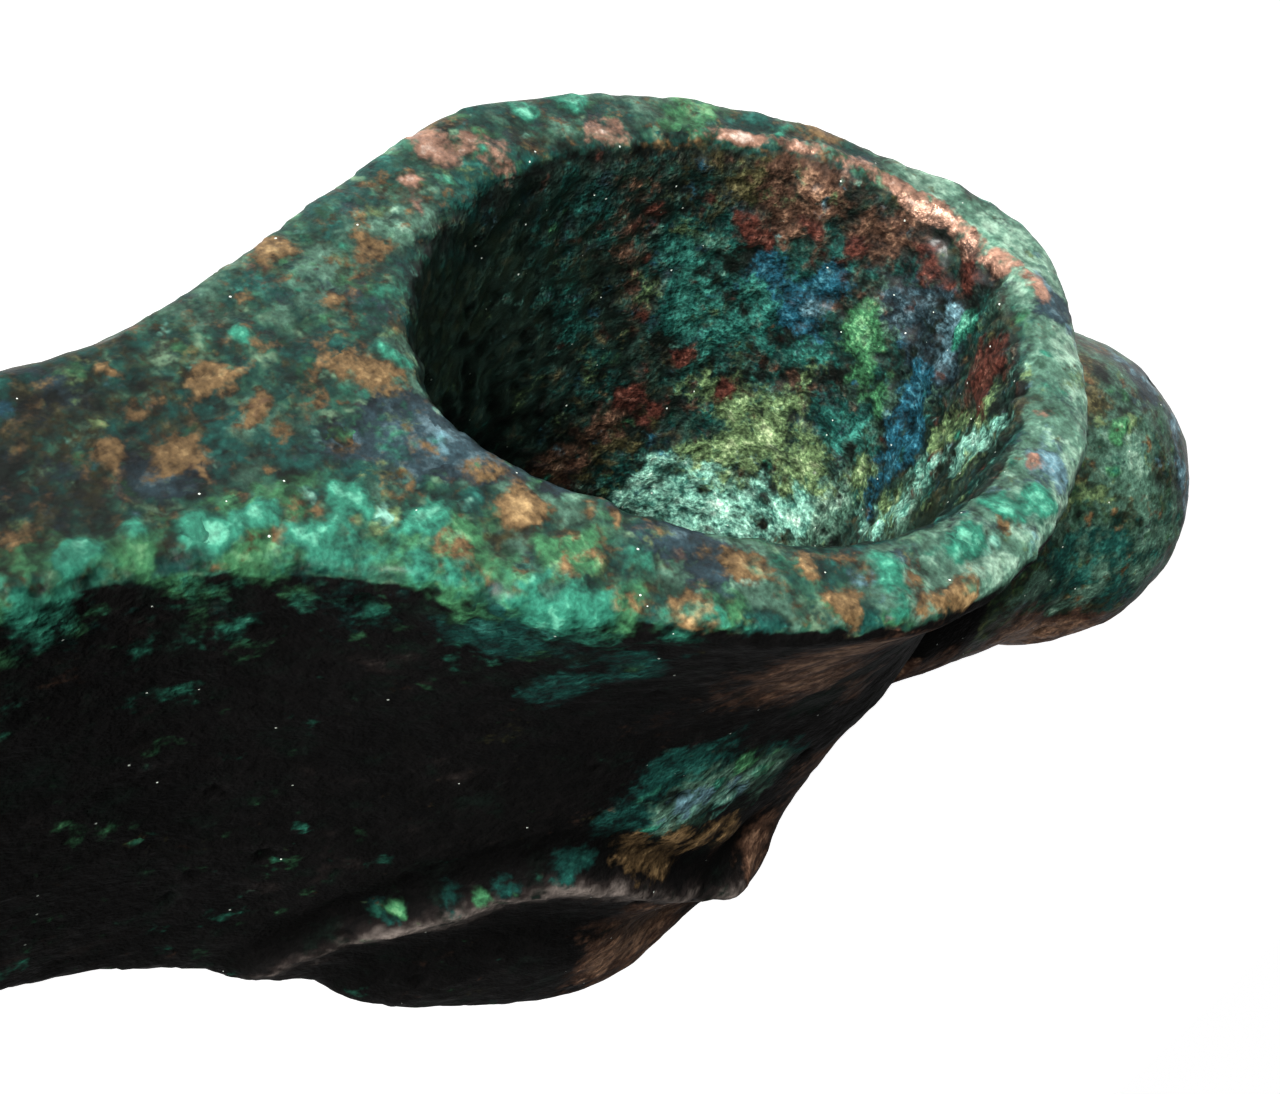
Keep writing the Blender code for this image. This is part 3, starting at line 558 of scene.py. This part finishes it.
fromMiddle = addNode(tree, "Math", {1: 0.5}, {0: grainCloud}, operation="SUBTRACT").outputs[0]
grain = addNode(tree, "Math", links={0: fromMiddle, 1: grainy}, operation="MULTIPLY").outputs[0]

# grounds: black-brown side with drawn streaks and a painted grey highlight along the ridge's crest, mouth face, eye and
# knob
streaksAndCrestHighlight = addNode(tree, "Attribute", attribute_name="streaksAndCrestHighlight").outputs["Fac"]
marksAndHighlight = addNode(tree, "Math", {1: 0.6}, {0: streaksAndCrestHighlight}, operation="MULTIPLY").outputs[0]
wavy = addNode(tree, "Math", {1: 0.4}, {0: midCloud, 2: marksAndHighlight}, operation="MULTIPLY_ADD").outputs[0]
colour = addRamp(wavy, [(0.44, "#060606"), (0.57, "#0c0b0b"), (0.65, "#1c1817"), (0.78, "#57504c")])
grounds = {
    "knob": [(0.34, "#08110c"), (0.46, "#16281b"), (0.56, "#2c4427"), (0.68, "#606c42")],
    "face": [(0.34, "#0a1714"), (0.46, "#17362e"), (0.56, "#2c5443"), (0.68, "#617d64")],
    "eye": [(0.34, "#0b1210"), (0.46, "#16241f"), (0.56, "#223831"), (0.68, "#403d2c")],
}
for name, stops in grounds.items():
    colour = addOver(colour, addRamp(midCloud, stops), addCover(name, edgeClouds[0], 0.2)[1])

tones = []
for i in range(6):
    grained = addNode(tree, "Math", {1: 1.2, 2: -0.80}, {0: grain}, operation="MULTIPLY_ADD").outputs[0]
    celled = addNode(tree, "Math", {1: 0.45}, {0: cells[i], 2: grained}, operation="MULTIPLY_ADD").outputs[0]
    tones.append(addNode(tree, "Math", {1: 0.95}, {0: toneClouds[i % 2], 2: celled}, operation="MULTIPLY_ADD").outputs[0])

masks = {}
for i, (name, layer) in enumerate(patina.items()):
    total, masks[name] = addCover(name, edgeClouds[i % 3], 0.15)
    # a patch is dark at its border and light in its middle
    tone = addNode(tree, "Math", {1: 0.7}, {0: total, 2: tones[(i + 4) % 6]}, operation="MULTIPLY_ADD").outputs[0]
    colour = addOver(colour, addRamp(tone, list(zip((0.12, 0.50, 0.88), layer["tones"]))), masks[name])

# darker in hollows, as dirt and painted shade; lighter on high spots, as rubbing and painted highlight; and every grain
# differs a little
wornAndShaded = addNode(tree, "Attribute", attribute_name="wornAndShaded")
rubbedAndShaded = addNode(tree, "MapRange", {"To Min": 0.30, "To Max": 1.60}, {"Value": wornAndShaded.outputs["Fac"]})
speckle = addNode(tree, "Math", {1: 3.2, 2: 1.0}, {0: grain}, operation="MULTIPLY_ADD")
shade = addNode(tree, "Math", links={0: rubbedAndShaded.outputs[0], 1: speckle.outputs[0]}, operation="MULTIPLY")
colour = addNode(tree, "VectorMath", links={0: colour, 1: shade.outputs[0]}, operation="MULTIPLY").outputs[0]

# pale dots, a tenth of a millimetre across, mostly in the eye: pale crystal specks and painted glints
specksAndGlints = addNode(tree, "TexVoronoi", {"Scale": 1.9, "Randomness": 1.0}, {"Vector": where})
dot = addNode(tree, "Math", {1: 0.09}, {0: specksAndGlints.outputs["Distance"]}, operation="LESS_THAN")
pick = addNode(tree, "SeparateColor", links={"Color": specksAndGlints.outputs["Color"]})
chance = addNode(tree, "Math", {1: -0.35, 2: 1.02}, {0: grainy}, operation="MULTIPLY_ADD")
rare = addNode(tree, "Math", links={0: pick.outputs[0], 1: chance.outputs[0]}, operation="GREATER_THAN")
spark = addNode(tree, "Math", links={0: dot.outputs[0], 1: rare.outputs[0]}, operation="MULTIPLY")
pale = addNode(tree, "Mix", {7: toLinear("#cfd8d0")}, {"Factor": spark.outputs[0], 6: colour}, data_type="RGBA")
tree.links.new(pale.outputs[2], shader.inputs["Base Color"])

# bare copper shines a little, crust is matt
metal = addNode(tree, "Math", {1: 0.4}, {0: masks["bareCopper"]}, operation="MULTIPLY")
tree.links.new(metal.outputs[0], shader.inputs["Metallic"])
dull = addNode(tree, "Attribute", attribute_name="dry")
matt = addNode(tree, "MapRange", {"To Min": 0.56, "To Max": 0.34}, {"Value": masks["bareCopper"]})
dry = addNode(tree, "Math", {1: 0.26}, {0: dull.outputs["Fac"], 2: matt.outputs[0]}, operation="MULTIPLY_ADD")
uneven = addNode(tree, "Math", {1: 0.7, 2: -0.35}, {0: toneClouds[1]}, operation="MULTIPLY_ADD")
rough = addNode(tree, "Math", links={0: dry.outputs[0], 1: uneven.outputs[0]}, operation="ADD", use_clamp=True)
tree.links.new(rough.outputs[0], shader.inputs["Roughness"])
shader.inputs["Specular IOR Level"].default_value = 0.06
# the crust is waxed, the black sides are worn dry
waxed = addNode(tree, "Attribute", attribute_name="waxed")
tree.links.new(waxed.outputs["Fac"], shader.inputs["Coat Weight"])
shader.inputs["Coat Roughness"].default_value = 0.32

# bump for what is finer than the mesh
coarse = addNode(tree, "Math", {1: 0.7}, {0: toneClouds[0]}, operation="MULTIPLY")
height = addNode(tree, "Math", {1: 0.9}, {0: grain, 2: coarse.outputs[0]}, operation="MULTIPLY_ADD")
bump = addNode(tree, "Bump", {"Strength": 1.0, "Distance": 0.00025}, {"Height": height.outputs[0]})
tree.links.new(bump.outputs[0], shader.inputs["Normal"])
head.data.materials.append(bronze)

# ---- floor, light and camera ----
print("setting the table and the lights")
room = {
    "floorWide": 8.0,  # metres
    "floorGlow": 0.90,  # white acrylic, lit a little from below
    "skyLow": 0.85,  # light of the walls
    "skyHigh": 0.06,  # light of the ceiling
    "lampPower": 3.1,  # watts
    "lampSize": 0.12,
    "lampAt": (0.24, -0.31, 0.10),
}
bpy.ops.mesh.primitive_plane_add(size=room["floorWide"])
floor = bpy.context.object
floor.name = "white_floor"
acrylic = bpy.data.materials.new("white acrylic sheet")
acrylic.use_nodes = True
sheet = acrylic.node_tree.nodes["Principled BSDF"]
sheet.inputs["Base Color"].default_value = toLinear("#f4f4f4")
sheet.inputs["Roughness"].default_value = 0.8
sheet.inputs["Emission Color"].default_value = (1, 1, 1, 1)
sheet.inputs["Emission Strength"].default_value = room["floorGlow"]
floor.data.materials.append(acrylic)

world = bpy.data.worlds.new("soft white room")
bpy.context.scene.world = world
world.use_nodes = True
soft = world.node_tree.nodes["Background"]
soft.inputs["Color"].default_value = (1, 1, 1, 1)
toSky = addNode(world.node_tree, "TexCoord")
upward = addNode(world.node_tree, "SeparateXYZ", links={0: toSky.outputs["Generated"]})
sky = {"From Min": 0.0, "From Max": 0.45, "To Min": room["skyLow"], "To Max": room["skyHigh"]}
fall = addNode(world.node_tree, "MapRange", sky, {"Value": upward.outputs[2]}, interpolation_type="SMOOTHSTEP")
world.node_tree.links.new(fall.outputs[0], soft.inputs["Strength"])
# the room is seen white, and lights the head more dimly
seen = addNode(world.node_tree, "Background", {"Color": (1, 1, 1, 1), "Strength": 1.0})
rays = addNode(world.node_tree, "LightPath")
both = addNode(world.node_tree, "MixShader", links={0: rays.outputs["Is Camera Ray"], 1: soft.outputs[0], 2: seen.outputs[0]})
world.node_tree.links.new(both.outputs[0], world.node_tree.nodes["World Output"].inputs["Surface"])


def addLamp(name, place, aim, size, power, colour):
    data = bpy.data.lights.new(name, "AREA")
    data.size = size
    data.energy = power
    data.color = toLinear(colour)[:3]
    lamp = bpy.data.objects.new(name, data)
    lamp.location = place
    lamp.rotation_euler = (Vector(aim) - Vector(place)).to_track_quat("-Z", "Y").to_euler()
    bpy.context.scene.collection.objects.link(lamp)
    return lamp


mouthMiddle = headToRoom @ Vector((0, 0, 0))
addLamp("soft_box", room["lampAt"], mouthMiddle, room["lampSize"], room["lampPower"], "#fffdf8")

view = {
    "place": (0.012225, -0.052427, 0.045222),  # metres
    "turn": (-55.4592, -38.6664, -163.8569),  # degrees
    "lens": 42.19,
}
lensData = bpy.data.cameras.new("camera")
lensData.sensor_width = 36
lensData.lens = view["lens"]
lensData.clip_start = 0.001
camera = bpy.data.objects.new("camera", lensData)
camera.location = view["place"]
camera.rotation_euler = [math.radians(a) for a in view["turn"]]
bpy.context.scene.collection.objects.link(camera)
bpy.context.scene.camera = camera
bpy.context.scene.view_settings.view_transform = "Standard"
